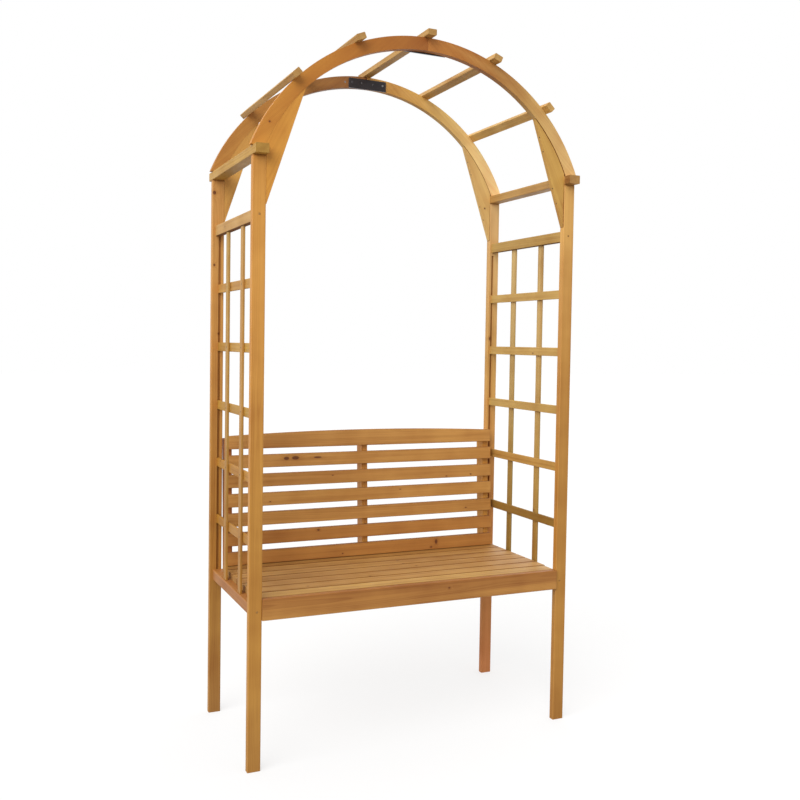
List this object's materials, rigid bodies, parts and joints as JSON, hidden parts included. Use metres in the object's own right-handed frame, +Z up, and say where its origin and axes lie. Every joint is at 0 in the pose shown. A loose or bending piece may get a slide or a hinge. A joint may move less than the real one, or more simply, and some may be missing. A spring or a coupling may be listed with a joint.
{
  "type": "arbour seat",
  "caption": "Slatted timber garden bench standing under a low round arch, with open lattice side panels and battens over the top, for sitting under climbing plants.",
  "frame": {"origin": "on the ground, at the middle of the rectangle of the whole arbour seen from above", "axes": "+X to the right seen from the front, +Y from the front to the back, +Z up"},
  "size_m": [1.03, 0.538, 2.0649],
  "materials": {
    "post_timber": "orange-brown stained softwood, planed, satin, with knots",
    "arch_timber": "orange-brown stained softwood, planed and sawn to a curve, satin",
    "batten_timber": "paler honey-stained softwood, planed, satin",
    "lattice_timber": "thin stained softwood laths, planed, satin",
    "back_timber": "orange-brown stained softwood slats with dark knots",
    "seat_timber": "honey-brown stained softwood boards with small knots",
    "frame_timber": "darker orange-brown stained softwood",
    "black_steel": "black coated steel plate, satin"
  },
  "bodies": {
    "root": {"front_left_post": "post_timber", "front_left_arch_board": "arch_timber", "front_left_gusset": "arch_timber", "front_right_post": "post_timber", "front_right_arch_board": "arch_timber", "front_right_gusset": "arch_timber", "front_crown_plate": "black_steel", "rear_left_post": "post_timber", "rear_left_arch_board": "arch_timber", "rear_left_gusset": "arch_timber", "rear_right_post": "post_timber", "rear_right_arch_board": "arch_timber", "rear_right_gusset": "arch_timber", "rear_crown_plate": "black_steel", "left_spring_batten": "batten_timber", "left_top_rail": "lattice_timber", "left_lattice_rail_1": "lattice_timber", "left_lattice_rail_2": "lattice_timber", "left_lattice_rail_3": "lattice_timber", "left_lattice_rail_4": "lattice_timber", "left_lattice_rail_5": "lattice_timber", "left_front_lattice_upright": "lattice_timber", "left_rear_lattice_upright": "lattice_timber", "right_spring_batten": "batten_timber", "right_top_rail": "lattice_timber", "right_lattice_rail_1": "lattice_timber", "right_lattice_rail_2": "lattice_timber", "right_lattice_rail_3": "lattice_timber", "right_lattice_rail_4": "lattice_timber", "right_lattice_rail_5": "lattice_timber", "right_front_lattice_upright": "lattice_timber", "right_rear_lattice_upright": "lattice_timber", "arch_batten_1": "batten_timber", "arch_batten_2": "batten_timber", "arch_batten_3": "batten_timber", "arch_batten_4": "batten_timber", "arch_batten_5": "batten_timber", "seat_apron": "frame_timber", "left_seat_rail": "frame_timber", "right_seat_rail": "frame_timber", "rear_seat_rail": "frame_timber", "seat_bearer": "frame_timber", "seat_board_1": "seat_timber", "seat_board_2": "seat_timber", "seat_board_3": "seat_timber", "seat_board_4": "seat_timber", "seat_board_5": "seat_timber", "seat_board_6": "seat_timber", "seat_board_7": "seat_timber", "left_back_stile": "frame_timber", "middle_back_stile": "frame_timber", "right_back_stile": "frame_timber", "back_slat_1": "back_timber", "back_slat_2": "back_timber", "back_slat_3": "back_timber", "back_slat_4": "back_timber", "back_slat_5": "back_timber", "back_slat_6": "back_timber", "back_slat_7": "back_timber"}
  },
  "joints": []
}
